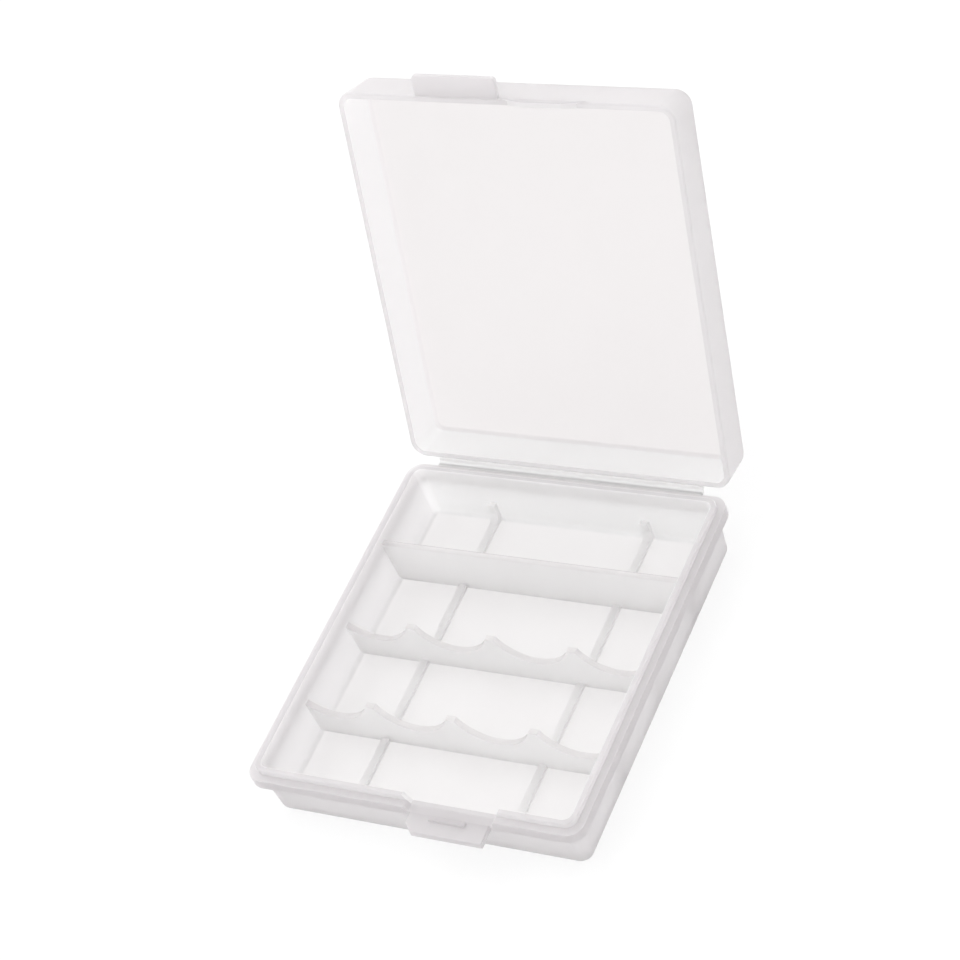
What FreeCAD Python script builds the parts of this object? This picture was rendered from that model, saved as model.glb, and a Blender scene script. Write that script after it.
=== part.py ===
"""Pocket battery case of milky polypropylene, open, in millimetres.

Origin at the centre of the tray's underside, +Z up, +X to the right, the
hinge at the back (+Y) and the thumb tabs at the front (-Y).
"""
import math
import os

import FreeCAD
import Part

# Outline shared by the tray's seat flange and the lid
case_width = 53.0
case_length = 60.0
outline_corner_radius = 2.4

# Tray
parting_height = 9.2
lip_rise = 0.95
tray_wall = 0.85
tray_floor = 1.1
tray_draft = 0.5
tray_edge_radius = 1.2
tray_corner_radius = 1.8
tray_inner_corner_radius = 1.2
tray_floor_radius = 0.7
lip_edge_radius = 0.2
flange_height = 1.9
flange_edge_radius = 0.25

# Lid
lid_depth = 7.2
lid_wall = 0.9
lid_plate = 1.0
lid_draft = 0.35
lid_edge_radius = 1.5
lid_inner_radius = 0.7

# Clearances between tray and lid
parting_gap = 0.3
lid_lip_gap = 0.2
latch_gap = 0.3

# Dividers
divider_thickness = 0.9
divider_pitch = 14.4
plain_divider_height = 9.15
peak_height = 8.9
scallop_floor_height = 5.1
scallop_radius = 6.4
scallop_pitch = 13.1
scallop_count = 4

# Ribs on the tray floor
rib_width = 1.2
rib_height = 0.6
rib_spacing = 25.5
rib_offset = -0.35
rib_upright_height = 4.5
rib_upright_depth = 0.6
rib_bend_radius = 1.4

# Notch in the front rim and the tray's thumb tab
notch_width = 13.1
notch_slope = 0.9
tab_thickness = 1.0
tray_tab_reach = 3.1
tray_tab_inset = 0.3
tray_tab_chamfer = 1.4
tab_edge_radius = 0.2

# Catch ridge on the tray's thumb tab
ridge_length = 5.6
ridge_width = 0.7
ridge_height = 0.5

# Lid's thumb tab
lid_tab_width = 13.2
lid_tab_reach = 3.1
lid_tab_thickness = 0.85
lid_tab_corner_radius = 0.6

# Hinge
open_angle = 107.5
hinge_width = 43.8
hinge_reach = 0.6
leaf_length = 0.4
leaf_thickness = 0.5
web_thickness = 0.3

# One overrun serves all cuts, one margin tells edges apart
overrun = 1.0
edge_margin = 0.004

# Sizes that follow
lip_height = parting_height + lip_rise
rim_height = parting_height + parting_gap
lid_top = rim_height + lid_depth
flange_bottom = parting_height - flange_height
flange_reach = lid_wall + lid_lip_gap
notch_floor = flange_bottom + tab_thickness
notch_left = 0.0
notch_right = notch_left + notch_width
front = -case_length / 2
back = case_length / 2
tray_top_width = case_width - 2 * flange_reach
tray_top_length = case_length - 2 * flange_reach
axis_y = back + hinge_reach
axis_z = (parting_height + rim_height) / 2

PARTS_FOLDER = "parts"
X_AXIS = FreeCAD.Vector(1, 0, 0)
Y_AXIS = FreeCAD.Vector(0, 1, 0)


def box(x_low, x_high, y_low, y_high, z_low, z_high):
    """Solid between two corners."""
    corner = FreeCAD.Vector(x_low, y_low, z_low)
    return Part.makeBox(x_high - x_low, y_high - y_low, z_high - z_low, corner)


def prism(points, direction):
    """Solid from a closed outline of points, pushed along a direction."""
    face = Part.Face(Part.makePolygon(points + points[:1]))
    return face.extrude(direction)


def edges_at_height(solid, height):
    """Edges of a solid that lie wholly at one height."""
    found = []
    for edge in solid.Edges:
        bounds = edge.BoundBox
        level = abs(bounds.ZMin - height) + abs(bounds.ZMax - height)
        if level < edge_margin:
            found.append(edge)
    return found


def rising_edges(solid, low, high):
    """Edges of a solid that run from one height to another."""
    found = []
    for edge in solid.Edges:
        bounds = edge.BoundBox
        span = abs(bounds.ZMin - low) + abs(bounds.ZMax - high)
        if span < edge_margin:
            found.append(edge)
    return found


def drafted_block(low_width, low_length, high_width, high_length, low, high):
    """Block with four leaning sides between two heights."""
    deep = max(low_length, high_length)
    broad = max(low_width, high_width)
    across = [
        FreeCAD.Vector(-low_width / 2, -deep / 2, low),
        FreeCAD.Vector(low_width / 2, -deep / 2, low),
        FreeCAD.Vector(high_width / 2, -deep / 2, high),
        FreeCAD.Vector(-high_width / 2, -deep / 2, high),
    ]
    along = [
        FreeCAD.Vector(-broad / 2, -low_length / 2, low),
        FreeCAD.Vector(-broad / 2, low_length / 2, low),
        FreeCAD.Vector(-broad / 2, high_length / 2, high),
        FreeCAD.Vector(-broad / 2, -high_length / 2, high),
    ]
    crosswise = prism(across, FreeCAD.Vector(0, deep, 0))
    lengthwise = prism(along, FreeCAD.Vector(broad, 0, 0))
    return crosswise.common(lengthwise)


def rounded_block(low_size, high_size, low, high, corner_radius):
    """Drafted block with its four standing corners rounded."""
    block = drafted_block(low_size[0], low_size[1], high_size[0], high_size[1], low, high)
    return block.makeFillet(corner_radius, rising_edges(block, low, high))


def shrunk(size, inset):
    """Width and length drawn in by the same inset on every side."""
    return (size[0] - 2 * inset, size[1] - 2 * inset)


def tray_inset(height):
    """How far the tray's outer side leans in at a height, counted from the lip."""
    return tray_draft * (lip_height - height) / lip_height


def tray_outside():
    """Outer form of the tray up to its lip, with a rounded lower edge."""
    top_size = (tray_top_width, tray_top_length)
    low_size = shrunk(top_size, tray_draft)
    block = rounded_block(low_size, top_size, 0, lip_height, tray_corner_radius)
    return block.makeFillet(tray_edge_radius, edges_at_height(block, 0))


def tray_inside():
    """Hollow of the tray, from the floor to past the lip."""
    top_size = shrunk((tray_top_width, tray_top_length), tray_wall)
    top = lip_height + overrun
    over_size = shrunk(top_size, tray_inset(top))
    floor_size = shrunk(top_size, tray_inset(tray_floor))
    block = rounded_block(floor_size, over_size, tray_floor, top, tray_inner_corner_radius)
    return block.makeFillet(tray_floor_radius, edges_at_height(block, tray_floor))


def notch_lean(height):
    """How far each end of the notch has leaned out at a height."""
    return notch_slope * (height - notch_floor) / (lip_height - notch_floor)


def notch_outline(low, high, inset, y):
    """Corners of the notch's leaning outline between two heights, drawn in by an inset."""
    return [
        FreeCAD.Vector(notch_left - notch_lean(low) + inset, y, low),
        FreeCAD.Vector(notch_right + notch_lean(low) - inset, y, low),
        FreeCAD.Vector(notch_right + notch_lean(high) - inset, y, high),
        FreeCAD.Vector(notch_left - notch_lean(high) + inset, y, high),
    ]


def notch_cut():
    """Space cleared in the front rim, wider at its top than at its floor."""
    points = notch_outline(notch_floor, lip_height + overrun, 0, front - overrun)
    back_of_cut = front + flange_reach + tray_wall + tray_draft
    return prism(points, FreeCAD.Vector(0, back_of_cut - front + overrun, 0))


def base_tray():
    """Open tray: floor, four leaning walls and the lip, notched at the front."""
    shell = tray_outside().cut(tray_inside())
    shell = shell.makeFillet(lip_edge_radius, edges_at_height(shell, lip_height))
    return shell.cut(notch_cut())


def seat_flange():
    """Ring round the tray that the lid's rim sits over."""
    size = (case_width, case_length)
    ring = rounded_block(size, size, flange_bottom, parting_height, outline_corner_radius)
    ring = ring.makeFillet(flange_edge_radius, edges_at_height(ring, flange_bottom))
    return ring.cut(tray_outside()).cut(notch_cut())


def divider_slab(centre_y, height):
    """Cross wall between the tray's sides, seated on floor and walls."""
    slab = box(
        -case_width / 2,
        case_width / 2,
        centre_y - divider_thickness / 2,
        centre_y + divider_thickness / 2,
        0,
        height,
    )
    return slab.common(tray_inside())


def plain_divider():
    """Full-height cross wall in front of the rear row."""
    return divider_slab(divider_pitch, plain_divider_height).cut(rib_bars())


def scalloped_divider(centre_y):
    """Cross wall with round cradles cut from its top."""
    wall = divider_slab(centre_y, peak_height)
    cradle_height = scallop_floor_height + scallop_radius
    first = -scallop_pitch * (scallop_count - 1) / 2
    for index in range(scallop_count):
        start = FreeCAD.Vector(
            first + index * scallop_pitch,
            centre_y - divider_thickness / 2 - overrun,
            cradle_height,
        )
        length = divider_thickness + 2 * overrun
        wall = wall.cut(Part.makeCylinder(scallop_radius, length, start, Y_AXIS))
    return wall.cut(rib_bars())


def rib_bar(centre_x):
    """Low bar along the floor, turned up the back wall at its end."""
    left = centre_x - rib_width / 2
    right = centre_x + rib_width / 2
    wall_lean = tray_inset(tray_floor)
    inner_back = back - flange_reach - tray_wall - wall_lean
    upright_face = inner_back - rib_upright_depth
    rib_top = tray_floor + rib_height
    bar = box(left, right, front, back, 0, rib_top)
    upright = box(left, right, upright_face, back, 0, rib_upright_height)
    rib = bar.fuse(upright).removeSplitter()
    bend = []
    for edge in edges_at_height(rib, rib_top):
        if abs(edge.BoundBox.YMin - upright_face) < edge_margin:
            bend.append(edge)
    return rib.makeFillet(rib_bend_radius, bend).common(tray_inside())


def rib_left():
    """Floor rib left of the middle."""
    return rib_bar(rib_offset - rib_spacing / 2)


def rib_right():
    """Floor rib right of the middle."""
    return rib_bar(rib_offset + rib_spacing / 2)


def rib_bars():
    """Both floor ribs, as the shape the dividers are cleared by."""
    return rib_left().fuse(rib_right())


def outer_edges(tab, root):
    """Edges round a tab's top and underside that lie clear of its root."""
    found = []
    for edge in tab.Edges:
        bounds = edge.BoundBox
        level = bounds.ZMax - bounds.ZMin < edge_margin
        if level and bounds.YMin < root - edge_margin:
            found.append(edge)
    return found


def tray_thumb_tab():
    """Flat ledge at the foot of the notch for the thumb, with one corner cut off."""
    left = notch_left + tray_tab_inset
    right = notch_right - tray_tab_inset
    tip = front - tray_tab_reach
    points = [
        FreeCAD.Vector(left, front, flange_bottom),
        FreeCAD.Vector(left, tip + tray_tab_chamfer, flange_bottom),
        FreeCAD.Vector(left + tray_tab_chamfer, tip, flange_bottom),
        FreeCAD.Vector(right, tip, flange_bottom),
        FreeCAD.Vector(right, front, flange_bottom),
    ]
    tab = prism(points, FreeCAD.Vector(0, 0, tab_thickness))
    return tab.makeFillet(tab_edge_radius, outer_edges(tab, front))


def catch_ridge():
    """Short bar on the tab, just in front of the closed lid's latch lip."""
    centre_x = (notch_left + notch_right) / 2
    rear = front - latch_gap
    ridge = box(
        centre_x - ridge_length / 2,
        centre_x + ridge_length / 2,
        rear - ridge_width,
        rear,
        notch_floor,
        notch_floor + ridge_height,
    )
    top_edges = edges_at_height(ridge, notch_floor + ridge_height)
    return ridge.makeFillet(ridge_height / 3, top_edges)


def lid_outside():
    """Outer form of the closed lid, rounded along its plate."""
    rim_size = (case_width, case_length)
    top_size = shrunk(rim_size, lid_draft)
    block = rounded_block(rim_size, top_size, rim_height, lid_top, outline_corner_radius)
    return block.makeFillet(lid_edge_radius, edges_at_height(block, lid_top))


def lid_inside():
    """Hollow of the closed lid, from below its rim to under the plate."""
    rim_size = shrunk((case_width, case_length), lid_wall)
    slope = lid_draft / lid_depth
    low = rim_height - overrun
    high = lid_top - lid_plate
    low_size = shrunk(rim_size, slope * (low - rim_height))
    high_size = shrunk(rim_size, slope * (high - rim_height))
    radius = outline_corner_radius - lid_wall
    block = rounded_block(low_size, high_size, low, high, radius)
    return block.makeFillet(lid_inner_radius, edges_at_height(block, high))


def lid_shell():
    """Lid plate with its four walls."""
    return lid_outside().cut(lid_inside())


def latch_lip():
    """Deeper stretch of the lid's front wall that fills the tray's notch."""
    points = notch_outline(notch_floor + latch_gap, rim_height, latch_gap, front)
    return prism(points, FreeCAD.Vector(0, lid_wall, 0))


def lid_thumb_tab():
    """Flat ledge out from the lid's rim, beside the tray's own."""
    right = notch_left - latch_gap
    left = right - lid_tab_width
    high = rim_height + lid_tab_thickness
    tab = box(left, right, front - lid_tab_reach, front + lid_draft, rim_height, high)
    corners = []
    for edge in rising_edges(tab, rim_height, high):
        if edge.BoundBox.YMax < front - lid_tab_reach / 2:
            corners.append(edge)
    tab = tab.makeFillet(lid_tab_corner_radius, corners)
    tab = tab.makeFillet(tab_edge_radius, outer_edges(tab, front))
    return tab.cut(lid_outside())


def hinge_leaf_tray():
    """Thin strip along the back of the seat flange."""
    return box(
        -hinge_width / 2,
        hinge_width / 2,
        back,
        back + leaf_length,
        parting_height - leaf_thickness,
        parting_height,
    )


def hinge_leaf_lid():
    """Thin strip along the back of the closed lid's rim."""
    leaf = box(
        -hinge_width / 2,
        hinge_width / 2,
        back - lid_draft,
        back + leaf_length,
        rim_height,
        rim_height + leaf_thickness,
    )
    return leaf.cut(lid_outside())


def opened_point(y_from_axis, z_from_axis):
    """Where a point of the closed lid's section lies once the lid is open."""
    turn = math.radians(open_angle)
    across = y_from_axis * math.cos(turn) + z_from_axis * math.sin(turn)
    upward = z_from_axis * math.cos(turn) - y_from_axis * math.sin(turn)
    return FreeCAD.Vector(-hinge_width / 2, axis_y + across, axis_z + upward)


def hinge_web():
    """Thin bent web that joins the two strips at the open angle."""
    leaf_end = leaf_length - hinge_reach
    middle = (parting_gap + leaf_thickness) / 2
    start = FreeCAD.Vector(-hinge_width / 2, axis_y + leaf_end, axis_z - middle)
    finish = opened_point(leaf_end, middle)
    bend = math.radians(180 - open_angle)
    radius = start.distanceToPoint(finish) / (2 * math.sin(bend / 2))
    centre = start + FreeCAD.Vector(0, 0, radius)
    rails = []
    for offset in (-web_thickness / 2, web_thickness / 2):
        points = []
        for turn in (0, bend / 2, bend):
            reach = radius + offset
            place = FreeCAD.Vector(0, reach * math.sin(turn), -reach * math.cos(turn))
            points.append(centre + place)
        rails.append(points)
    inner, outer = rails
    edges = [
        Part.Arc(inner[0], inner[1], inner[2]).toShape(),
        Part.LineSegment(inner[2], outer[2]).toShape(),
        Part.Arc(outer[2], outer[1], outer[0]).toShape(),
        Part.LineSegment(outer[0], inner[0]).toShape(),
    ]
    return Part.Face(Part.Wire(edges)).extrude(FreeCAD.Vector(hinge_width, 0, 0))


def opened(shape):
    """The lid's shape swung from closed to its open rest pose."""
    turned = shape.copy()
    turned.rotate(FreeCAD.Vector(0, axis_y, axis_z), X_AXIS, -open_angle)
    return turned


def build_parts():
    """Every piece of the case by its name, in the rest pose."""
    return {
        "base_tray": base_tray(),
        "seat_flange": seat_flange(),
        "rear_divider": plain_divider(),
        "middle_scalloped_divider": scalloped_divider(0),
        "front_scalloped_divider": scalloped_divider(-divider_pitch),
        "floor_rib_left": rib_left(),
        "floor_rib_right": rib_right(),
        "tray_thumb_tab": tray_thumb_tab(),
        "catch_ridge": catch_ridge(),
        "hinge_leaf_tray": hinge_leaf_tray(),
        "hinge_web": hinge_web(),
        "hinge_leaf_lid": opened(hinge_leaf_lid()),
        "lid_shell": opened(lid_shell()),
        "lid_latch_lip": opened(latch_lip()),
        "lid_thumb_tab": opened(lid_thumb_tab()),
    }


def main():
    """Writes one file for each piece and prints what it holds."""
    os.makedirs(PARTS_FOLDER, exist_ok=True)
    for name, shape in build_parts().items():
        bounds = shape.BoundBox
        print(
            name,
            "solids",
            len(shape.Solids),
            "valid",
            shape.isValid(),
            "volume",
            round(shape.Volume, 2),
            "y",
            round(bounds.YMin, 2),
            round(bounds.YMax, 2),
            "z",
            round(bounds.ZMin, 2),
            round(bounds.ZMax, 2),
        )
        shape.exportStep(os.path.join(PARTS_FOLDER, name + ".step"))


main()
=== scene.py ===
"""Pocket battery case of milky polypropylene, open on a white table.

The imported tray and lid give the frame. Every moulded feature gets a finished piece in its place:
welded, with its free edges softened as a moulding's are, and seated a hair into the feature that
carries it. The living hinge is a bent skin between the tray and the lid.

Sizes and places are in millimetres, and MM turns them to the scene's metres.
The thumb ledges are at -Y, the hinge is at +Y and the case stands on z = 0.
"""
import logging
import math
from dataclasses import dataclass, field
from enum import Enum
from functools import partial
from typing import Any, Callable, Dict, List, Optional, Tuple

import bpy
from mathutils import Matrix, Vector


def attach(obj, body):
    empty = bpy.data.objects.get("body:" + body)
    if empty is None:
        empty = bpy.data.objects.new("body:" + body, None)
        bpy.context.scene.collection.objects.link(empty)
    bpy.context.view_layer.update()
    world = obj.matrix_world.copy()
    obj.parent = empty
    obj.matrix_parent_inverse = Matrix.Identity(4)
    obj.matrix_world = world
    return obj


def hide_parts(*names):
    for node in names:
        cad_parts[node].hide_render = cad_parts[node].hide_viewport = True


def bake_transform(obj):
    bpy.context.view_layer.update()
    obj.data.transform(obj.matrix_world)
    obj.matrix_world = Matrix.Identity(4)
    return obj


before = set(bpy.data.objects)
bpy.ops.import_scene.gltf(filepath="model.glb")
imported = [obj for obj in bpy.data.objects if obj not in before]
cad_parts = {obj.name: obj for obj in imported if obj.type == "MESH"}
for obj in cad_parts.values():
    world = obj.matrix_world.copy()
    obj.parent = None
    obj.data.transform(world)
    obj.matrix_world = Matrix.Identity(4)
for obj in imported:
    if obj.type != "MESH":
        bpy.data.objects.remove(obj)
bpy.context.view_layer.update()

MM = 0.001
# The photograph's width and height in pixels.
PHOTO_SIDE = 960
# Half of the outline that the seat ring and the lid share.
HALF_WIDTH = 26.5
HALF_LENGTH = 30.0
# The least share of a normal that makes a face level, or that makes it look
# squarely in one direction.
LEVEL = 0.95
SQUARE = 0.995
LOG = logging.getLogger("battery_case")

Colour = Tuple[float, float, float, float]
# Tells from a face's middle, in millimetres, and its normal, or from an edge's
# middle and its direction.
Chooser = Callable[[Vector, Vector], bool]
Resins = Dict["Skin", bpy.types.Material]


class Body(Enum):
    """The two halves that move against each other."""

    TRAY = "base"
    LID = "lid"


class Slot(Enum):
    """Material slots of the record."""

    MILKY = "milky_polypropylene"


class Skin(Enum):
    """How the steel that moulded a face was finished, smoothest first. The drawn skin's white milk
    is painted light, and the etched and spark-eroded skins' grey milk is painted shade.
    """

    POLISHED = "polished"
    BUFFED = "buffed"
    DRAWN_LIT = "drawn"
    ETCHED_SHADE = "etched"
    SPARKED_SHADE = "spark_eroded"


def linear(hex_colour: str) -> Colour:
    """Turns an sRGB hex colour to linear light.

    Args:
        hex_colour: The colour as six hex digits after a hash.

    Returns:
        Linear red, green and blue with an alpha of 1.
    """
    parts = [int(hex_colour[start:start + 2], 16) / 255 for start in (1, 3, 5)]
    # The sRGB curve is straight near black and a power above that.
    light = [
        part / 12.92 if part <= 0.04045 else ((part + 0.055) / 1.055) ** 2.4
        for part in parts
    ]
    return (light[0], light[1], light[2], 1.0)


def add_node(
    tree: bpy.types.NodeTree,
    kind: str,
    settings: Optional[Dict[str, Any]] = None,
    links: Optional[Dict[Any, bpy.types.NodeSocket]] = None,
) -> bpy.types.Node:
    """Adds one shader node with its settings and incoming links.

    Args:
        tree: The node tree that gets it.
        kind: Blender's name for the node.
        settings: Values by input name, or by property name after a dot.
        links: Output sockets by the name or number of the input they feed.

    Returns:
        The new node.
    """
    node = tree.nodes.new(kind)
    for name, value in (settings or {}).items():
        if name.startswith("."):
            setattr(node, name[1:], value)
        else:
            node.inputs[name].default_value = value
    for name, source in (links or {}).items():
        tree.links.new(source, node.inputs[name])
    return node


def new_material(name: str) -> Tuple[bpy.types.Material, bpy.types.NodeTree]:
    """Makes an empty node material.

    Args:
        name: The material's name.

    Returns:
        The material and its node tree.
    """
    material = bpy.data.materials.new(name)
    material.use_nodes = True
    material.node_tree.nodes.clear()
    return material, material.node_tree


def make_active(piece: bpy.types.Object) -> None:
    """Leaves one object selected and active.

    Args:
        piece: The object that the next operator works on.
    """
    bpy.ops.object.select_all(action="DESELECT")
    piece.select_set(True)
    bpy.context.view_layer.objects.active = piece


def deselect_mesh(mesh: bpy.types.Mesh) -> None:
    """Deselects a mesh's vertices, edges and faces, out of edit mode."""
    for item in (*mesh.vertices, *mesh.edges, *mesh.polygons):
        item.select = False


def choose_faces(piece: bpy.types.Object, wanted: Chooser) -> None:
    """Selects faces of a piece by their middle and normal, out of edit mode.

    Args:
        piece: A mesh object at the origin.
        wanted: Tells which faces are selected.
    """
    deselect_mesh(piece.data)
    for face in piece.data.polygons:
        face.select = wanted(face.center / MM, face.normal)


def choose_edges(piece: bpy.types.Object, wanted: Chooser, fold: float) -> int:
    """Selects a piece's folded edges by their middle and direction, out of edit mode.

    Args:
        piece: A mesh object at the origin.
        wanted: Tells which folded edges are selected.
        fold: The least angle between the faces at the edge, in degrees.

    Returns:
        The number of edges that were selected.
    """
    mesh = piece.data
    beside: Dict[Tuple[int, int], List[Vector]] = {}
    for face in mesh.polygons:
        for key in face.edge_keys:
            beside.setdefault(key, []).append(face.normal)
    deselect_mesh(mesh)
    count = 0
    for edge in mesh.edges:
        first, second = (mesh.vertices[index].co for index in edge.vertices)
        normals = beside.get(tuple(sorted(edge.vertices)), [])
        if len(normals) != 2 or normals[0].angle(normals[1], 0) < math.radians(fold):
            continue
        if wanted((first + second) / 2 / MM, (second - first).normalized()):
            edge.select = True
            mesh.vertices[edge.vertices[0]].select = True
            mesh.vertices[edge.vertices[1]].select = True
            count += 1
    return count


def any_face(middle: Vector, normal: Vector) -> bool:
    """True for every face."""
    return True


def facing(direction: Vector) -> Chooser:
    """Makes a chooser that is true for faces that look squarely in a direction."""
    return lambda middle, normal: normal.dot(direction) > SQUARE


def outward(place: Vector, normal: Vector) -> float:
    """How much a face looks away from the case's middle, seen from above."""
    return normal.x * place.x + normal.y * place.y


@dataclass(frozen=True)
class MilkyPolypropylene:
    """Natural polypropylene, injection moulded against steel.

    The resin is unpigmented. Its crystals scatter light, so a wall a millimetre thick is milky,
    lets the white behind it through as a soft glow and turns greyer where the eye looks along it.
    The finish of the steel sets how much of that milk shows and how hazy the sheen on it is. The
    milk's colour is painted light and shade: white on the faces that take the light, and grey as
    painted shade on the faces that look away from it.
    """

    skin: Skin
    milk_share: Tuple[float, float]
    milk_and_shade_colour: str
    roughness: Tuple[float, float]
    clear_colour: str = "#FFFDFD"
    name: str = "natural_polypropylene_lit_and_shaded"
    ior: float = 1.49
    through_share: float = 0.7
    noise_span: Tuple[float, float] = (0.3, 0.7)
    flow_length: float = 14.0
    flow_width: float = 5.0
    flow_detail: float = 3.0
    flow_roughness: float = 0.5
    flow_twist: float = 0.4
    grain_size: float = 0.35
    grain_detail: float = 2.0
    grain_roughness: float = 0.6
    grain_strength: float = 0.35
    grain_depth: float = 0.004

    def build(self) -> bpy.types.Material:
        """Builds the resin's shader.

        Returns:
            The finished material.
        """
        material, tree = new_material(f"{self.name}_{self.skin.value}")
        place = add_node(tree, "ShaderNodeTexCoord")
        along, across = (1 / (size * MM) for size in (self.flow_length, self.flow_width))
        drawn_out = add_node(
            tree,
            "ShaderNodeMapping",
            {"Scale": (across, along, across)},
            {"Vector": place.outputs["Object"]},
        )
        # Melt that flows out from the gate leaves broad, faint clouds of haze
        # drawn out along the case.
        clouds = add_node(
            tree,
            "ShaderNodeTexNoise",
            {
                "Scale": 1.0,
                "Detail": self.flow_detail,
                "Roughness": self.flow_roughness,
                "Distortion": self.flow_twist,
            },
            {"Vector": drawn_out.outputs["Vector"]},
        )
        # The steel's grain is about 0.05 mm. That is under a pixel, so it is
        # drawn seven times coarser, which shows as a soft broken sheen.
        grain = add_node(
            tree,
            "ShaderNodeTexNoise",
            {
                "Scale": 1 / (self.grain_size * MM),
                "Detail": self.grain_detail,
                "Roughness": self.grain_roughness,
            },
            {"Vector": place.outputs["Object"]},
        )
        milk, satin = (
            add_node(
                tree,
                "ShaderNodeMapRange",
                {
                    "From Min": self.noise_span[0],
                    "From Max": self.noise_span[1],
                    "To Min": least,
                    "To Max": most,
                },
                {"Value": pattern.outputs["Fac"]},
            )
            for pattern, (least, most) in ((clouds, self.milk_share), (grain, self.roughness))
        )
        bumps = add_node(
            tree,
            "ShaderNodeBump",
            {"Strength": self.grain_strength, "Distance": self.grain_depth * MM},
            {"Height": grain.outputs["Fac"]},
        )
        clear = add_node(
            tree,
            "ShaderNodeBsdfPrincipled",
            {
                "Base Color": linear(self.clear_colour),
                "IOR": self.ior,
                "Transmission Weight": 1.0,
            },
            {"Roughness": satin.outputs["Result"], "Normal": bumps.outputs["Normal"]},
        )
        # The milk throws most of its light on through the wall, as a glow, and
        # the rest back to the side that it came from.
        # The milk colour is white on the lit faces and grey as painted shade on the faces that
        # look away from the light.
        milk_and_shade_tint = linear(self.milk_and_shade_colour)
        glow = add_node(tree, "ShaderNodeBsdfTranslucent", {"Color": milk_and_shade_tint})
        cloudy = add_node(tree, "ShaderNodeBsdfDiffuse", {"Color": milk_and_shade_tint})
        milky = add_node(
            tree,
            "ShaderNodeMixShader",
            {"Fac": self.through_share},
            {1: cloudy.outputs["BSDF"], 2: glow.outputs["BSDF"]},
        )
        wall = add_node(
            tree,
            "ShaderNodeMixShader",
            {},
            {0: milk.outputs["Result"], 1: clear.outputs["BSDF"], 2: milky.outputs["Shader"]},
        )
        add_node(tree, "ShaderNodeOutputMaterial", {}, {"Surface": wall.outputs["Shader"]})
        return material


FINISHES: Tuple[MilkyPolypropylene, ...] = (
    # The floors, off polished steel: nearly clear, so the white paper under
    # them shows through.
    MilkyPolypropylene(Skin.POLISHED, (0.07, 0.13), "#FCFBFB", (0.31, 0.35)),
    # The lid's plate and the tops of the cross walls, off buffed steel: clear too, and a shade
    # greyer. On the cross walls' tops this is painted shade, which keeps them from reading lighter
    # than the walls.
    MilkyPolypropylene(Skin.BUFFED, (0.1, 0.16), "#F8F6F6", (0.31, 0.35), "#F8F5F5"),
    # The inner walls, cross walls and hinge, off steel drawn smooth: white milk that glows with
    # the light behind it. Its white is painted light, the lit copy of the resin on the faces that
    # take the light.
    MilkyPolypropylene(Skin.DRAWN_LIT, (0.62, 0.7), "#FFFFFF", (0.33, 0.38)),
    # The lid's outside and the seat ring, off etched steel: a dull face whose light grey milk is
    # painted shade on the faces that look away from the light.
    MilkyPolypropylene(Skin.ETCHED_SHADE, (0.7, 0.78), "#E9E7E8", (0.36, 0.42)),
    # The tray's outside and the lid rim's rounded edge, off spark-eroded steel: the dullest, with
    # the greyest milk as painted shade on the outside and as a painted dark line along the rim's
    # edge.
    MilkyPolypropylene(Skin.SPARKED_SHADE, (0.74, 0.82), "#E5E3E4", (0.38, 0.44)),
)


def seen_directly(tree: bpy.types.NodeTree) -> bpy.types.NodeSocket:
    """Adds the test for rays that show the surroundings as they look.

    Args:
        tree: The node tree that gets the test.

    Returns:
        A socket that is 1 for camera, glossy and clear transmission rays, and
        0 for light that the resin's milk has scattered.
    """
    path = add_node(tree, "ShaderNodeLightPath")
    either = add_node(
        tree,
        "ShaderNodeMath",
        {".operation": "MAXIMUM"},
        {0: path.outputs["Is Camera Ray"], 1: path.outputs["Is Glossy Ray"]},
    )
    any_of = add_node(
        tree,
        "ShaderNodeMath",
        {".operation": "MAXIMUM"},
        {0: either.outputs["Value"], 1: path.outputs["Is Transmission Ray"]},
    )
    unscattered = add_node(
        tree,
        "ShaderNodeMath",
        {".operation": "SUBTRACT", ".use_clamp": True},
        {0: any_of.outputs["Value"], 1: path.outputs["Is Diffuse Ray"]},
    )
    return unscattered.outputs["Value"]


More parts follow.
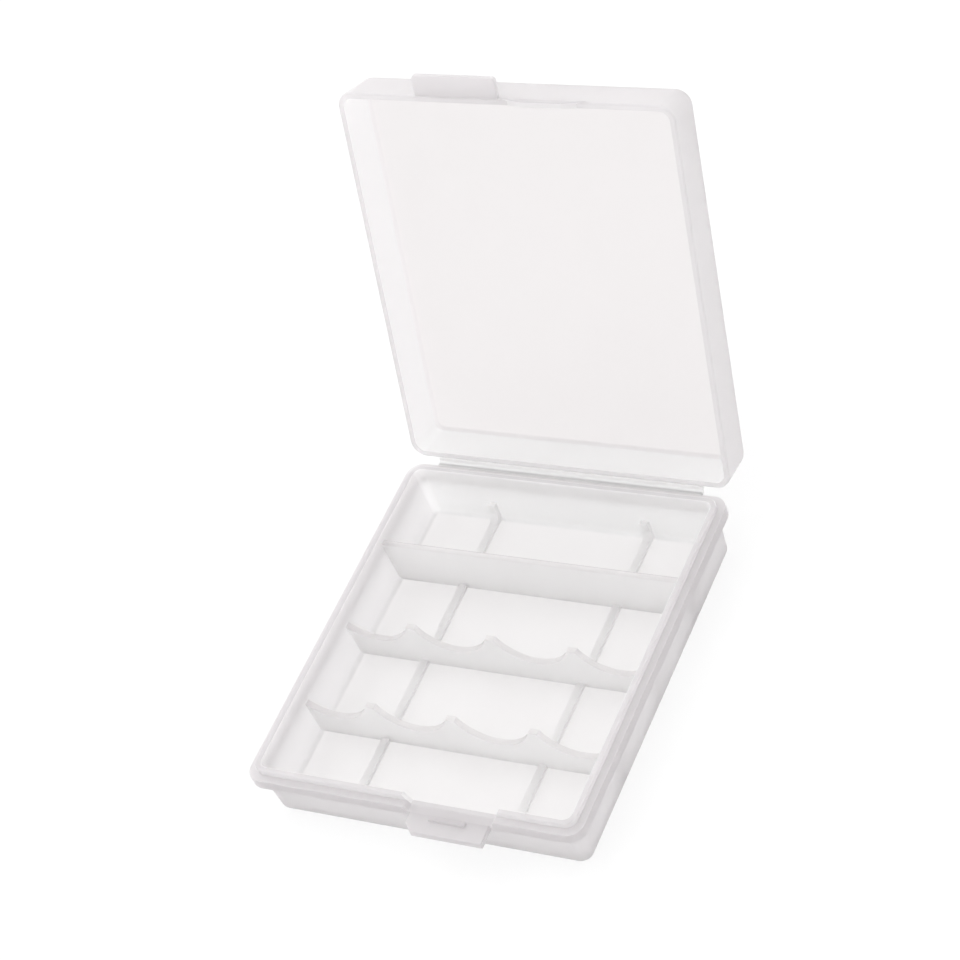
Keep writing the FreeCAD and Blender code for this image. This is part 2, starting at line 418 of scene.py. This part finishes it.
@dataclass(frozen=True)
class MattPaper:
    """White uncoated paper under the case, which keeps a faint soft shadow.

    The eye sees plain white with shadow_share of the paper's own shading, or
    veiled_share of it through the resin. The light that the paper throws back
    on the case comes from bounce_colour.
    """

    name: str = "matt_white_paper"
    colour: str = "#F3F3F3"
    bounce_colour: str = "#E0E0E0"
    roughness: float = 0.5
    shadow_share: float = 0.2
    veiled_share: float = 0.1
    fibre_width: float = 0.6
    fibre_detail: float = 2.0
    fibre_strength: float = 0.1
    fibre_depth: float = 0.01

    def build(self) -> bpy.types.Material:
        """Builds the paper's shader.

        Returns:
            The finished material.
        """
        material, tree = new_material(self.name)
        place = add_node(tree, "ShaderNodeTexCoord")
        # Paper fibre is about 0.03 mm wide and is drawn at 0.6 mm, which only
        # breaks the shadow's evenness.
        fibre = add_node(
            tree,
            "ShaderNodeTexNoise",
            {"Scale": 1 / (self.fibre_width * MM), "Detail": self.fibre_detail},
            {"Vector": place.outputs["Object"]},
        )
        tooth = add_node(
            tree,
            "ShaderNodeBump",
            {"Strength": self.fibre_strength, "Distance": self.fibre_depth * MM},
            {"Height": fibre.outputs["Fac"]},
        )
        paper = add_node(
            tree,
            "ShaderNodeBsdfDiffuse",
            {"Color": linear(self.colour), "Roughness": self.roughness},
            {"Normal": tooth.outputs["Normal"]},
        )
        bounce = add_node(tree, "ShaderNodeBsdfDiffuse", {"Color": linear(self.bounce_colour)})
        white = add_node(tree, "ShaderNodeEmission", {"Strength": 1.0})
        path = add_node(tree, "ShaderNodeLightPath")
        white_share = add_node(
            tree,
            "ShaderNodeMapRange",
            {"To Min": 1 - self.veiled_share, "To Max": 1 - self.shadow_share},
            {"Value": path.outputs["Is Camera Ray"]},
        )
        seen = add_node(
            tree,
            "ShaderNodeMixShader",
            {},
            {
                0: white_share.outputs["Result"],
                1: paper.outputs["BSDF"],
                2: white.outputs["Emission"],
            },
        )
        mixed = add_node(
            tree,
            "ShaderNodeMixShader",
            {},
            {0: seen_directly(tree), 1: bounce.outputs["BSDF"], 2: seen.outputs["Shader"]},
        )
        add_node(tree, "ShaderNodeOutputMaterial", {}, {"Surface": mixed.outputs["Shader"]})
        return material


@dataclass
class Moulding:
    """A moulded feature's finished piece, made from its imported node.

    Its angles are in degrees.
    """

    name: str
    node: str
    body: Body
    # Unless told otherwise, a piece gets the etched skin, whose grey milk is painted shade.
    skin: Skin = Skin.ETCHED_SHADE
    other_skins: Dict[Skin, Chooser] = field(default_factory=dict)
    seat_depth: float = 0.02
    weld_reach: float = 0.0002
    flat_angle: float = 0.4
    fold_angle: float = 40.0
    smooth_angle: float = 32.0
    edge_segments: int = 3
    large_face_weight: int = 80
    piece: bpy.types.Object = field(init=False, repr=False)

    def build(self) -> bpy.types.Object:
        """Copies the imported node's mesh, welds it and joins its flat faces.

        Returns:
            The piece, in place and riding on nothing yet.
        """
        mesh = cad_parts[self.node].data.copy()
        mesh.name = self.name
        mesh.materials.clear()
        self.piece = bpy.data.objects.new(self.name, mesh)
        bpy.context.scene.collection.objects.link(self.piece)
        make_active(self.piece)
        bpy.ops.object.mode_set(mode="EDIT")
        bpy.ops.mesh.select_mode(type="VERT")
        bpy.ops.mesh.select_all(action="SELECT")
        bpy.ops.mesh.remove_doubles(threshold=self.weld_reach * MM)
        bpy.ops.mesh.dissolve_limited(angle_limit=math.radians(self.flat_angle))
        bpy.ops.object.mode_set(mode="OBJECT")
        return self.piece

    def edit(self, wanted: Chooser, change: Callable[[], Any]) -> None:
        """Chooses faces and changes them in edit mode.

        Args:
            wanted: Tells which faces are changed.
            change: Calls the operator that changes them.
        """
        make_active(self.piece)
        choose_faces(self.piece, wanted)
        bpy.ops.object.mode_set(mode="EDIT")
        change()
        bpy.ops.object.mode_set(mode="OBJECT")

    def shift(self, wanted: Chooser, distance: Vector) -> None:
        """Moves chosen faces by a distance in millimetres."""
        self.edit(wanted, partial(bpy.ops.transform.translate, value=distance * MM))

    def press(self, direction: Vector) -> None:
        """Pushes the faces that look one way a hair into what they touch."""
        self.shift(facing(direction), direction * self.seat_depth)

    def swell(self, wanted: Chooser) -> None:
        """Pushes chosen faces outwards by the seat's depth.

        Args:
            wanted: Tells which faces are pushed.
        """
        fatten = bpy.ops.transform.shrink_fatten
        self.edit(wanted, partial(fatten, value=self.seat_depth * MM, use_even_offset=True))

    def soften(self, wanted: Chooser, radius: float) -> None:
        """Rounds chosen free edges as a mould's parting and cut edges are.

        Args:
            wanted: Tells which folded edges are rounded.
            radius: The rounding in millimetres.
        """
        make_active(self.piece)
        if not choose_edges(self.piece, wanted, self.fold_angle):
            LOG.warning("%s has no edge to soften", self.name)
            return
        bpy.ops.object.mode_set(mode="EDIT")
        bpy.ops.mesh.select_mode(type="EDGE")
        bpy.ops.mesh.bevel(
            offset=radius * MM,
            offset_type="OFFSET",
            segments=self.edge_segments,
            profile=0.5,
            clamp_overlap=True,
        )
        bpy.ops.mesh.select_mode(type="VERT")
        bpy.ops.object.mode_set(mode="OBJECT")

    def dress(self, resins: Resins) -> None:
        """Shades the piece, gives it its finish and hands it to its body.

        Args:
            resins: The finishes by the skin they give.
        """
        make_active(self.piece)
        bpy.ops.object.shade_smooth_by_angle(angle=math.radians(self.smooth_angle))
        even = self.piece.modifiers.new("even", "WEIGHTED_NORMAL")
        even.keep_sharp = True
        even.weight = self.large_face_weight
        bpy.ops.object.modifier_apply(modifier="even")
        mesh = self.piece.data
        mesh.materials.append(resins[self.skin])
        for skin, wanted in self.other_skins.items():
            mesh.materials.append(resins[skin])
            choose_faces(self.piece, wanted)
            for face in mesh.polygons:
                if face.select:
                    face.material_index = len(mesh.materials) - 1
        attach(self.piece, self.body.value)
        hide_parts(self.node)
        LOG.info("%s: %d faces", self.name, len(mesh.polygons))


@dataclass
class Tray:
    """The tray half: body, seat ring, thumb ledge, catch bar and hinge strip."""

    parting_height: float = 9.2
    half_width: float = HALF_WIDTH
    half_length: float = HALF_LENGTH
    wall_reach: float = 25.4
    notch: Tuple[float, float] = (-1.2, 14.3)
    notch_floor: float = 8.3
    floor_top: float = 2.0
    edge_radius: float = 0.12
    # What tells its faces and edges apart: bands in millimetres, and shares of
    # a normal.
    notch_band: float = 0.1
    outline_band: float = 0.8
    parting_band: float = 0.05
    ring_inward: float = -1.0
    steep_share: float = 0.3
    rear_share: float = 0.3

    def build(self) -> List[Moulding]:
        """Builds the tray's own pieces.

        Returns:
            The pieces, not yet dressed.
        """
        # The inner faces, both sides of the rear wall and the hinge strip get the drawn skin's
        # white milk as painted light. The body's outside and the thumb ledge keep the spark-eroded
        # skin's grey milk as painted shade.
        inner = {Skin.DRAWN_LIT: self.lit_milk_faces}
        skins = {Skin.POLISHED: self.on_floor, **inner}
        body = Moulding("tray_body", "base_tray", Body.TRAY, Skin.SPARKED_SHADE, skins)
        body.build()
        body.soften(self.at_notch, self.edge_radius)
        ring = Moulding("seat_ring", "seat_flange", Body.TRAY, other_skins=inner)
        ring.build()
        ring.swell(self.faces_tray)
        ring.soften(self.on_parting, self.edge_radius)
        ledge = Moulding("tray_thumb_ledge", "tray_thumb_tab", Body.TRAY, Skin.SPARKED_SHADE)
        ledge.build()
        ledge.press(Vector((0, 1, 0)))
        bar = Moulding("catch_bar", "catch_ridge", Body.TRAY)
        bar.build()
        bar.press(Vector((0, 0, -1)))
        strip = Moulding("tray_hinge_strip", "hinge_leaf_tray", Body.TRAY, Skin.DRAWN_LIT)
        strip.build()
        strip.press(Vector((0, -1, 0)))
        return [body, ring, ledge, bar, strip]

    def on_floor(self, middle: Vector, normal: Vector) -> bool:
        """True for the floor's upper face and underside."""
        return abs(normal.z) > LEVEL and middle.z < self.floor_top

    def faces_inside(self, middle: Vector, normal: Vector) -> bool:
        """True for the walls' inner faces and the fillets at their feet."""
        return abs(normal.z) < LEVEL and outward(middle, normal) < 0.0

    def lit_milk_faces(self, middle: Vector, normal: Vector) -> bool:
        """True for the walls' inner faces and both sides of the rear wall, which get the white
        milk as painted light.
        """
        rear = middle.y > self.wall_reach and normal.y > self.rear_share
        return rear or self.faces_inside(middle, normal)

    def at_notch(self, middle: Vector, direction: Vector) -> bool:
        """True for the cut edges of the front notch.

        Args:
            middle: The edge's middle.
            direction: The way it runs.

        Returns:
            Whether it is one of them.
        """
        inside = self.notch[0] < middle.x < self.notch[1]
        above = middle.z > self.notch_floor - self.notch_band
        return inside and above and middle.y < -self.wall_reach

    def faces_tray(self, middle: Vector, normal: Vector) -> bool:
        """True for the ring's faces that lie against the tray's wall."""
        steep = abs(normal.z) < self.steep_share
        return steep and outward(middle, normal) < self.ring_inward

    def on_parting(self, middle: Vector, direction: Vector) -> bool:
        """True for the ring's outer edge along the parting plane.

        Args:
            middle: The edge's middle.
            direction: The way it runs.

        Returns:
            Whether it belongs to that edge.
        """
        aside = abs(middle.x) > self.half_width - self.outline_band
        along = abs(middle.y) > self.half_length - self.outline_band
        return (aside or along) and middle.z > self.parting_height - self.parting_band


@dataclass
class Dividers:
    """Cross walls with their cradles, and the two bars along the floor."""

    cradle_floor: float = 5.1
    rib_top: float = 1.7
    wall_edge_radius: float = 0.28
    rib_edge_radius: float = 0.15
    inner_reach: float = 24.2
    # What tells their faces and edges apart: bands in millimetres, and shares
    # of a normal or a direction.
    edge_band: float = 0.1
    top_band: float = 0.3
    upright_share: float = 0.999
    side_share: float = 0.98
    far_share: float = 0.2
    across_share: float = 0.5

    def build(self) -> List[Moulding]:
        """Builds the cross walls and the floor bars.

        Returns:
            The pieces, not yet dressed.
        """
        made = []
        # The cross walls and floor bars get the drawn skin's white milk as painted light. Their
        # tops get the clearer buffed resin and the far rounded edge the etched grey: painted shade
        # that keeps the tops from reading lighter than the walls.
        skins = {Skin.BUFFED: self.painted_shade_top, Skin.ETCHED_SHADE: self.painted_shade_far_edge}
        for name, node in (
            ("plain_cross_wall", "rear_divider"),
            ("middle_cradle_wall", "middle_scalloped_divider"),
            ("front_cradle_wall", "front_scalloped_divider"),
        ):
            wall = Moulding(name, node, Body.TRAY, Skin.DRAWN_LIT, skins)
            wall.build()
            wall.soften(self.along_top, self.wall_edge_radius)
            wall.swell(any_face)
            made.append(wall)
        for name, node in (
            ("left_floor_bar", "floor_rib_left"),
            ("right_floor_bar", "floor_rib_right"),
        ):
            bar = Moulding(name, node, Body.TRAY, Skin.DRAWN_LIT)
            bar.build()
            bar.soften(self.along_bar, self.rib_edge_radius)
            bar.swell(any_face)
            made.append(bar)
        return made

    def along_top(self, middle: Vector, direction: Vector) -> bool:
        """True for the edges along a cross wall's top and its cradles."""
        inside = middle.z > self.cradle_floor - self.edge_band and abs(middle.x) < self.inner_reach
        return inside and abs(direction.z) < self.upright_share

    def painted_shade_top(self, middle: Vector, normal: Vector) -> bool:
        """True for a cross wall's top and its cradles, rounded edges included, which get the
        clearer resin as painted shade.
        """
        return middle.z > self.cradle_floor - self.top_band and abs(normal.y) < self.side_share

    def painted_shade_far_edge(self, middle: Vector, normal: Vector) -> bool:
        """True for the rounded rear edge of a cross wall's top and its cradles, which gets the
        grey milk as painted shade.
        """
        return self.painted_shade_top(middle, normal) and normal.y > self.far_share

    def along_bar(self, middle: Vector, direction: Vector) -> bool:
        """True for the long upper edges of a floor bar."""
        return middle.z > self.rib_top - self.edge_band and abs(direction.x) < self.across_share


@dataclass
class Lid:
    """The lid half: shell, latch tongue, thumb ledge and hinge strip.

    Its open angle is in degrees. Heights are those of the shut lid.
    """

    open_angle: float = 107.5
    axis_y: float = 30.6
    axis_z: float = 9.35
    rim_height: float = 9.5
    half_width: float = HALF_WIDTH
    half_length: float = HALF_LENGTH
    corner_radius: float = 3.0
    inner_edge_radius: float = 0.12
    outer_edge_radius: float = 0.3
    tongue_rise: float = 0.45
    tongue_root: float = 0.35
    tongue_middle: float = 6.55
    tongue_narrowing: float = 0.5
    # What tells its faces and edges apart: bands in millimetres, and shares of
    # a normal.
    rim_band: float = 0.05
    plate_band: float = 2.0
    hinge_band: float = 1.0
    corner_reach: float = 2.5
    hinge_share: float = 0.3
    steep_share: float = 0.4
    bevel_shares: Tuple[float, float] = (0.05, 0.98)
    front_share: float = 0.2

    def build(self) -> List[Moulding]:
        """Builds the lid's pieces.

        Returns:
            The pieces, not yet dressed.
        """
        # The plate gets the clear buffed resin. The inner faces, the wall by the hinge and the
        # hinge strip get the drawn skin's white milk as painted light. The rim's rounded outer
        # edge gets the greyest milk as a painted dark line, and the rest of the outside gets the
        # etched grey milk as painted shade.
        skins = {
            Skin.BUFFED: self.on_plate,
            Skin.DRAWN_LIT: self.lit_milk_faces,
            Skin.SPARKED_SHADE: self.painted_dark_rim_bevel,
        }
        shell = Moulding("lid_body", "lid_shell", Body.LID, other_skins=skins)
        shell.build()
        shell.soften(self.on_inner_rim, self.inner_edge_radius)
        shell.soften(self.on_outer_rim, self.outer_edge_radius)
        tongue = self.tongue()
        ledge = Moulding("lid_thumb_ledge", "lid_thumb_tab", Body.LID)
        ledge.build()
        ledge.press(self.opened(Vector((0, 1, 0))))
        strip = Moulding("lid_hinge_strip", "hinge_leaf_lid", Body.LID, Skin.DRAWN_LIT)
        strip.build()
        strip.press(self.opened(Vector((0, -1, 0))))
        return [shell, tongue, ledge, strip]

    def tongue(self) -> Moulding:
        """Builds the latch tongue, a shallow dip of the rim with long sloping ends.

        Returns:
            The tongue, let into the rim.
        """
        # The tongue gets the drawn skin's white milk as painted light, and its rounded outer edge
        # the greyest milk as a painted dark line.
        skins = {Skin.SPARKED_SHADE: self.painted_dark_tongue_bevel}
        tongue = Moulding("lid_latch_tongue", "lid_latch_lip", Body.LID, Skin.DRAWN_LIT, skins)
        tongue.build()
        up = self.opened(Vector((0, 0, 1)))
        narrow = partial(
            bpy.ops.transform.resize,
            value=(self.tongue_narrowing, 1, 1),
            center_override=(self.tongue_middle * MM, 0, 0),
        )
        tongue.shift(facing(-up), up * self.tongue_rise)
        tongue.edit(facing(-up), narrow)
        tongue.shift(facing(up), up * self.tongue_root)
        tongue.swell(any_face)
        tongue.soften(self.on_tongue, self.inner_edge_radius)
        return tongue

    def opened(self, direction: Vector) -> Vector:
        """Turns a direction of the shut lid to the open lid."""
        return Matrix.Rotation(math.radians(-self.open_angle), 3, "X") @ direction

    def shut(self, middle: Vector, normal: Vector) -> Tuple[Vector, Vector]:
        """Tells where a face or edge of the open lid lies once the lid is shut.

        Args:
            middle: Its middle in the open lid.
            normal: Its normal or direction there.

        Returns:
            Its middle and its normal or direction in the shut lid.
        """
        axis = Vector((0, self.axis_y, self.axis_z))
        turn = Matrix.Rotation(math.radians(self.open_angle), 3, "X")
        return axis + turn @ (middle - axis), turn @ normal

    def on_plate(self, middle: Vector, normal: Vector) -> bool:
        """True for both faces of the lid's flat plate and the fillets inside it.

        Args:
            middle: The face's middle.
            normal: Its normal.

        Returns:
            Whether it is one of them.
        """
        middle, normal = self.shut(middle, normal)
        fillet = outward(middle, normal) < 0.0 and abs(normal.z) > self.steep_share
        high = middle.z > self.rim_height + self.plate_band
        return high and (abs(normal.z) > LEVEL or fillet)

    def lit_milk_faces(self, middle: Vector, normal: Vector) -> bool:
        """True for the walls' inner faces and both sides of the wall by the hinge, which get the
        white milk as painted light.

        Args:
            middle: The face's middle.
            normal: Its normal.

        Returns:
            Whether it is one of them.
        """
        middle, normal = self.shut(middle, normal)
        inward = outward(middle, normal) < 0.0
        by_hinge = normal.y > self.hinge_share and middle.y > self.half_length - self.hinge_band
        return abs(normal.z) < self.steep_share and (inward or by_hinge)

    def at_rim(self, middle: Vector, direction: Vector) -> bool:
        """True for the edges in the plane of the lid's rim."""
        middle, direction = self.shut(middle, direction)
        return abs(middle.z - self.rim_height) < self.rim_band

    def on_inner_rim(self, middle: Vector, direction: Vector) -> bool:
        """True for the inner edge of the lid's rim."""
        return self.at_rim(middle, direction) and not self.on_outer_rim(middle, direction)

    def on_outer_rim(self, middle: Vector, direction: Vector) -> bool:
        """True for the outer edge of the lid's rim, corners included.

        Args:
            middle: The edge's middle.
            direction: The way it runs.

        Returns:
            Whether it belongs to that edge.
        """
        aside = max(abs(middle.x) - self.half_width + self.corner_radius, 0.0)
        shut_y = self.shut(middle, direction)[0].y
        along = max(abs(shut_y) - self.half_length + self.corner_radius, 0.0)
        return self.at_rim(middle, direction) and math.hypot(aside, along) > self.corner_reach

    def rounded(self, normal: Vector) -> bool:
        """True for the normal of a downward rounded edge of the shut lid."""
        return self.bevel_shares[0] < -normal.z < self.bevel_shares[1]

    def painted_dark_rim_bevel(self, middle: Vector, normal: Vector) -> bool:
        """True for the rounded outer edge of the lid's rim, which gets the greyest milk as a
        painted dark line.

        Args:
            middle: The face's middle.
            normal: Its normal.

        Returns:
            Whether it belongs to that edge.
        """
        middle, normal = self.shut(middle, normal)
        low = middle.z < self.rim_height + self.outer_edge_radius
        return low and self.rounded(normal) and outward(middle, normal) > 0.0

    def painted_dark_tongue_bevel(self, middle: Vector, normal: Vector) -> bool:
        """True for the latch tongue's rounded outer edge, which gets the greyest milk as a painted
        dark line.
        """
        middle, normal = self.shut(middle, normal)
        return self.rounded(normal) and normal.y < -self.front_share

    def on_tongue(self, middle: Vector, direction: Vector) -> bool:
        """True for the free edges of the latch tongue."""
        middle, direction = self.shut(middle, direction)
        return middle.z < self.rim_height - self.rim_band


@dataclass
class HingeSkin:
    """The living hinge's bent skin between the two strips.

    Its angles are in degrees. The start is the y and z of its root at the tray.
    Both ends meet the outer faces of their strips flush.
    """

    width: float = 43.8
    thickness: float = 0.3
    root_swell: float = 1.5
    root_reach: float = 0.52
    root_share: float = 0.18
    start: Tuple[float, float] = (30.4, 8.95)
    bend_radius: float = 0.6727
    bend_angle: float = 72.5
    smooth_angle: float = 40.0
    weld_reach: float = 0.001
    steps: int = 14
    piece: bpy.types.Object = field(init=False, repr=False)

    def build(self) -> bpy.types.Object:
        """Spins the skin's cross-section round its bend.

        Returns:
            The skin, in place.
        """
        bpy.ops.object.select_all(action="DESELECT")
        bpy.ops.mesh.primitive_plane_add(size=1, location=(0, 0, 0))
        self.piece = bpy.context.object
        self.piece.name = self.piece.data.name = "hinge_skin"
        bpy.ops.object.mode_set(mode="EDIT")
        bpy.ops.mesh.select_all(action="SELECT")
        bpy.ops.transform.resize(
            value=(self.width * MM, self.thickness * MM, 1), center_override=(0, 0, 0)
        )
        bpy.ops.transform.rotate(
            value=math.radians(90),
            orient_axis="X",
            orient_type="GLOBAL",
            center_override=(0, 0, 0),
        )
        bpy.ops.transform.translate(value=self.tray_root())
        # The spin operator turns left-handed round its axis, so that a
        # negative angle bends the skin out from the tray and up to the lid.
        bpy.ops.mesh.spin(
            steps=self.steps,
            angle=-math.radians(self.bend_angle),
            center=self.bend_centre(),
            axis=(1, 0, 0),
        )
        bpy.ops.mesh.select_all(action="SELECT")
        bpy.ops.mesh.remove_doubles(threshold=self.weld_reach * MM)
        bpy.ops.mesh.normals_make_consistent(inside=False)
        bpy.ops.object.mode_set(mode="OBJECT")
        for root in (self.middle_at(0.0), self.middle_at(self.bend_angle)):
            self.swell_root(root)
        return self.piece

    def tray_root(self) -> Vector:
        """The middle of the skin's root at the tray's strip, in metres."""
        return Vector((0, self.start[0], self.start[1])) * MM

    def bend_centre(self) -> Vector:
        """The point that the skin bends round, in metres."""
        return self.tray_root() + Vector((0, 0, self.bend_radius * MM))

    def middle_at(self, turn: float) -> Vector:
        """Finds a point of the bend's middle line.

        Args:
            turn: How far round the bend it lies, in degrees.

        Returns:
            The point, in metres.
        """
        angle = math.radians(turn)
        reach = self.bend_radius * MM
        across = Vector((0, reach * math.sin(angle), -reach * math.cos(angle)))
        return self.bend_centre() + across

    def swell_root(self, root: Vector) -> None:
        """Thickens the skin where it runs into a strip.

        Args:
            root: The middle of the root, in metres.
        """
        mesh = self.piece.data
        deselect_mesh(mesh)
        for vertex in mesh.vertices:
            near = Vector((0, vertex.co.y - root.y, vertex.co.z - root.z))
            vertex.select = near.length < self.root_reach * self.thickness * MM
        make_active(self.piece)
        bpy.ops.object.mode_set(mode="EDIT")
        bpy.ops.transform.resize(value=(1, self.root_swell, self.root_swell), center_override=root)
        bpy.ops.object.mode_set(mode="OBJECT")

    def dress(self, resins: Resins) -> None:
        """Shades the skin, gives it its finish and bakes its place into the mesh.

        Args:
            resins: The finishes by the skin they give.
        """
        make_active(self.piece)
        bpy.ops.object.shade_smooth_by_angle(angle=math.radians(self.smooth_angle))
        # The skin gets the drawn skin's white milk, which is painted light.
        self.piece.data.materials.append(resins[Skin.DRAWN_LIT])
        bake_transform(self.piece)
        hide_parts("hinge_web")
        LOG.info("hinge_skin: %d faces", len(self.piece.data.polygons))


@dataclass
class PhotoCamera:
    """The camera that the photograph's outlines solve to, with angles in degrees."""

    azimuth: float = 41.26
    elevation: float = 43.83
    roll: float = -24.66
    distance: float = 422.65
    target: Tuple[float, float, float] = (-12.08, 25.65, 10.0)
    focal_pixels: float = 2838.43
    shift_pixels: Tuple[float, float] = (2.23, 9.76)
    sensor: float = 36.0

    def build(self) -> bpy.types.Object:
        """Places the camera.

        Returns:
            The scene's camera.
        """
        azimuth, elevation, roll = (
            math.radians(value) for value in (self.azimuth, self.elevation, self.roll)
        )
        away = Vector(
            (
                math.sin(azimuth) * math.cos(elevation),
                -math.cos(azimuth) * math.cos(elevation),
                math.sin(elevation),
            )
        )
        level = (-away).cross(Vector((0, 0, 1))).normalized()
        upright = level.cross(-away)
        right = level * math.cos(roll) + upright * math.sin(roll)
        up = upright * math.cos(roll) - level * math.sin(roll)
        data = bpy.data.cameras.new("photo_camera")
        data.sensor_width = self.sensor
        data.lens = self.sensor * self.focal_pixels / PHOTO_SIDE
        data.shift_x = -self.shift_pixels[0] / PHOTO_SIDE
        data.shift_y = self.shift_pixels[1] / PHOTO_SIDE
        camera = bpy.data.objects.new("photo_camera", data)
        bpy.context.scene.collection.objects.link(camera)
        turned = Matrix((right, up, away)).transposed().to_4x4()
        turned.translation = (Vector(self.target) + away * self.distance) * MM
        camera.matrix_world = turned
        bpy.context.scene.camera = camera
        return camera


@dataclass
class Studio:
    """A white table in a light tent, brightest above.

    The floor's size and the lamp's place and size are in metres, its power in
    watts.
    """

    floor_size: float = 3.0
    floor_drop: float = 0.05
    sky_strength: float = 1.05
    sky_swing: float = 0.65
    bright_side: Tuple[float, float, float] = (-0.7, 0.3, 0.8)
    lamp_place: Tuple[float, float, float] = (-0.3, 0.1, 0.8)
    lamp_size: float = 0.7
    lamp_power: float = 1.6
    most_bounces: int = 32
    scatter_bounces: int = 12
    through_bounces: int = 24

    def build(self) -> None:
        """Builds the floor, the tent and the lamp, and sets the plain view transform."""
        self.floor()
        self.tent()
        self.lamp()
        scene = bpy.context.scene
        scene.view_settings.view_transform = "Standard"
        # Light crosses many walls of resin before it reaches the eye.
        scene.cycles.max_bounces = self.most_bounces
        scene.cycles.diffuse_bounces = self.scatter_bounces
        scene.cycles.glossy_bounces = self.scatter_bounces
        scene.cycles.transmission_bounces = self.through_bounces

    def floor(self) -> None:
        """Adds the paper a hair under the case's underside."""
        bpy.ops.object.select_all(action="DESELECT")
        place = (0, 0, -self.floor_drop * MM)
        bpy.ops.mesh.primitive_plane_add(size=self.floor_size, location=place)
        paper = bpy.context.object
        paper.name = "table_paper"
        paper.data.materials.append(MattPaper().build())

    def tent(self) -> None:
        """Adds the tent's light, which is even and brightest on one side."""
        world = bpy.data.worlds.new("light_tent")
        bpy.context.scene.world = world
        world.use_nodes = True
        tree = world.node_tree
        tree.nodes.clear()
        sky = add_node(tree, "ShaderNodeTexCoord")
        toward = add_node(
            tree,
            "ShaderNodeVectorMath",
            {".operation": "DOT_PRODUCT"},
            {0: sky.outputs["Generated"]},
        )
        toward.inputs[1].default_value = Vector(self.bright_side).normalized()
        level = add_node(
            tree,
            "ShaderNodeMapRange",
            {
                "From Min": -1.0,
                "From Max": 1.0,
                "To Min": self.sky_strength * (1 - self.sky_swing),
                "To Max": self.sky_strength * (1 + self.sky_swing),
            },
            {"Value": toward.outputs["Value"]},
        )
        colour = {"Color": linear("#FFFFFF")}
        strength = {"Strength": level.outputs["Result"]}
        cloth = add_node(tree, "ShaderNodeBackground", colour, strength)
        white = add_node(tree, "ShaderNodeBackground", {**colour, "Strength": 1.0})
        mixed = add_node(
            tree,
            "ShaderNodeMixShader",
            {},
            {
                0: seen_directly(tree),
                1: cloth.outputs["Background"],
                2: white.outputs["Background"],
            },
        )
        add_node(tree, "ShaderNodeOutputWorld", {}, {"Surface": mixed.outputs["Shader"]})

    def lamp(self) -> None:
        """Adds the round soft lamp over the case."""
        data = bpy.data.lights.new("tent_lamp", "AREA")
        data.shape = "DISK"
        data.size = self.lamp_size
        data.energy = self.lamp_power
        lamp = bpy.data.objects.new("tent_lamp", data)
        bpy.context.scene.collection.objects.link(lamp)
        lamp.location = self.lamp_place
        aim = -Vector(self.lamp_place)
        lamp.rotation_euler = aim.to_track_quat("-Z", "Y").to_euler()


def main() -> None:
    """Builds the stage and every piece of the case in order."""
    logging.basicConfig(level=logging.INFO, format="%(name)s: %(message)s")
    PhotoCamera().build()
    Studio().build()
    resins = {finish.skin: finish.build() for finish in FINISHES}
    pieces: List[Moulding] = []
    for part in (Tray(), Dividers(), Lid()):
        pieces.extend(part.build())
    for piece in pieces:
        piece.dress(resins)
    hinge = HingeSkin()
    hinge.build()
    hinge.dress(resins)
    bpy.context.view_layer.update()


if __name__ == "__main__":
    main()
